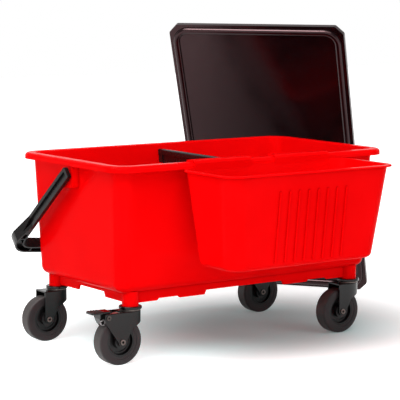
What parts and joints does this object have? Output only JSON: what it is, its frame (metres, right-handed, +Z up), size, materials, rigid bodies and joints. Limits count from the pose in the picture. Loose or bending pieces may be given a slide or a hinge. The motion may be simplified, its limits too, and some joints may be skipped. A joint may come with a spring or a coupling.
{
  "type": "wheeled car wash bucket",
  "caption": "Divided rectangular wash bucket on swivel casters with foot brakes, swinging bail, hook-on side bucket and separate lid.",
  "frame": {"origin": "on the floor under the middle of the tub", "axes": "+X along the tub's length towards the end that the lid stands at, +Y to the back, away from the side bucket, +Z up"},
  "size_m": [0.8577, 0.7691, 0.5502],
  "materials": {
    "red_plastic": "moulded red polyethylene",
    "black_plastic": "moulded black polypropylene",
    "lid_plastic": "moulded glossy black",
    "socket_plastic": "black nylon",
    "black_nylon": "black nylon",
    "core_plastic": "black moulded wheel centre",
    "tyre_rubber": "grey-black rubber",
    "shoe_rubber": "black rubber",
    "black_steel": "black coated pressed steel",
    "rivet_steel": "dark tubular rivet",
    "bright_steel": "zinc plated steel"
  },
  "bodies": {
    "tub": {"tub": "red_plastic", "stem_socket_front_left": "socket_plastic", "stem_front_left": "bright_steel", "thrust_washer_front_left": "black_nylon", "stem_socket_front_right": "socket_plastic", "stem_front_right": "bright_steel", "thrust_washer_front_right": "black_nylon", "stem_socket_back_left": "socket_plastic", "stem_back_left": "bright_steel", "thrust_washer_back_left": "black_nylon", "stem_socket_back_right": "socket_plastic", "stem_back_right": "bright_steel", "thrust_washer_back_right": "black_nylon"},
    "caster_front_left": {"fork_front_left": "black_steel", "axle_front_left": "rivet_steel", "brake_pin_front_left": "rivet_steel", "brake_spring_front_left": "bright_steel"},
    "wheel_front_left": {"tyre_front_left": "tyre_rubber", "wheel_core_front_left": "core_plastic", "wheel_bush_front_left": "black_nylon"},
    "pedal_front_left": {"brake_pedal_front_left": "black_steel", "brake_shoe_front_left": "shoe_rubber"},
    "caster_front_right": {"fork_front_right": "black_steel", "axle_front_right": "rivet_steel"},
    "wheel_front_right": {"tyre_front_right": "tyre_rubber", "wheel_core_front_right": "core_plastic", "wheel_bush_front_right": "black_nylon"},
    "caster_back_left": {"fork_back_left": "black_steel", "axle_back_left": "rivet_steel"},
    "wheel_back_left": {"tyre_back_left": "tyre_rubber", "wheel_core_back_left": "core_plastic", "wheel_bush_back_left": "black_nylon"},
    "caster_back_right": {"fork_back_right": "black_steel", "axle_back_right": "rivet_steel", "brake_pin_back_right": "rivet_steel", "brake_spring_back_right": "bright_steel"},
    "wheel_back_right": {"tyre_back_right": "tyre_rubber", "wheel_core_back_right": "core_plastic", "wheel_bush_back_right": "black_nylon"},
    "pedal_back_right": {"brake_pedal_back_right": "black_steel", "brake_shoe_back_right": "shoe_rubber"},
    "bail": {"bail": "black_plastic"},
    "divider": {"divider": "black_plastic"},
    "side_bucket": {"side_bucket": "red_plastic"},
    "lid": {"lid": "lid_plastic"}
  },
  "joints": [
    {"name": "swivel_front_left", "type": "hinge", "parent": "tub", "child": "caster_front_left", "pos_m": [-0.238, -0.118, 0.09], "axis": [0, 0, 1], "continuous": true},
    {"name": "wheel_spin_front_left", "type": "hinge", "parent": "caster_front_left", "child": "wheel_front_left", "pos_m": [-0.26298, -0.11691, 0.04], "axis": [0.0436, 0.999, 0], "continuous": true},
    {"name": "brake_front_left", "type": "hinge", "parent": "caster_front_left", "child": "pedal_front_left", "pos_m": [-0.28945, -0.11575, 0.083], "axis": [-0.0436, -0.999, 0], "range_deg": [0, 20]},
    {"name": "swivel_front_right", "type": "hinge", "parent": "tub", "child": "caster_front_right", "pos_m": [0.238, -0.118, 0.09], "axis": [0, 0, 1], "continuous": true},
    {"name": "wheel_spin_front_right", "type": "hinge", "parent": "caster_front_right", "child": "wheel_front_right", "pos_m": [0.21302, -0.11691, 0.04], "axis": [0.0436, 0.999, 0], "continuous": true},
    {"name": "swivel_back_left", "type": "hinge", "parent": "tub", "child": "caster_back_left", "pos_m": [-0.238, 0.118, 0.09], "axis": [0, 0, 1], "continuous": true},
    {"name": "wheel_spin_back_left", "type": "hinge", "parent": "caster_back_left", "child": "wheel_back_left", "pos_m": [-0.26298, 0.11909, 0.04], "axis": [0.0436, 0.999, 0], "continuous": true},
    {"name": "swivel_back_right", "type": "hinge", "parent": "tub", "child": "caster_back_right", "pos_m": [0.238, 0.118, 0.09], "axis": [0, 0, 1], "continuous": true},
    {"name": "wheel_spin_back_right", "type": "hinge", "parent": "caster_back_right", "child": "wheel_back_right", "pos_m": [0.21302, 0.11909, 0.04], "axis": [0.0436, 0.999, 0], "continuous": true},
    {"name": "brake_back_right", "type": "hinge", "parent": "caster_back_right", "child": "pedal_back_right", "pos_m": [0.18655, 0.12025, 0.083], "axis": [-0.0436, -0.999, 0], "range_deg": [0, 20]},
    {"name": "bail_swing", "type": "hinge", "parent": "tub", "child": "bail", "pos_m": [0, 0, 0.3005], "axis": [-1, 0, 0], "range_deg": [-208, 0]},
    {"name": "divider_lift", "type": "slide", "parent": "tub", "child": "divider", "axis": [0, 0, 1], "range_m": [0, 0.212]},
    {"name": "side_bucket_lift", "type": "slide", "parent": "tub", "child": "side_bucket", "axis": [0, 0, 1], "range_m": [0, 0.2]},
    {"name": "lid_lift", "type": "slide", "parent": "tub", "child": "lid", "axis": [0, 0, 1], "range_m": [0, 0.3]}
  ]
}
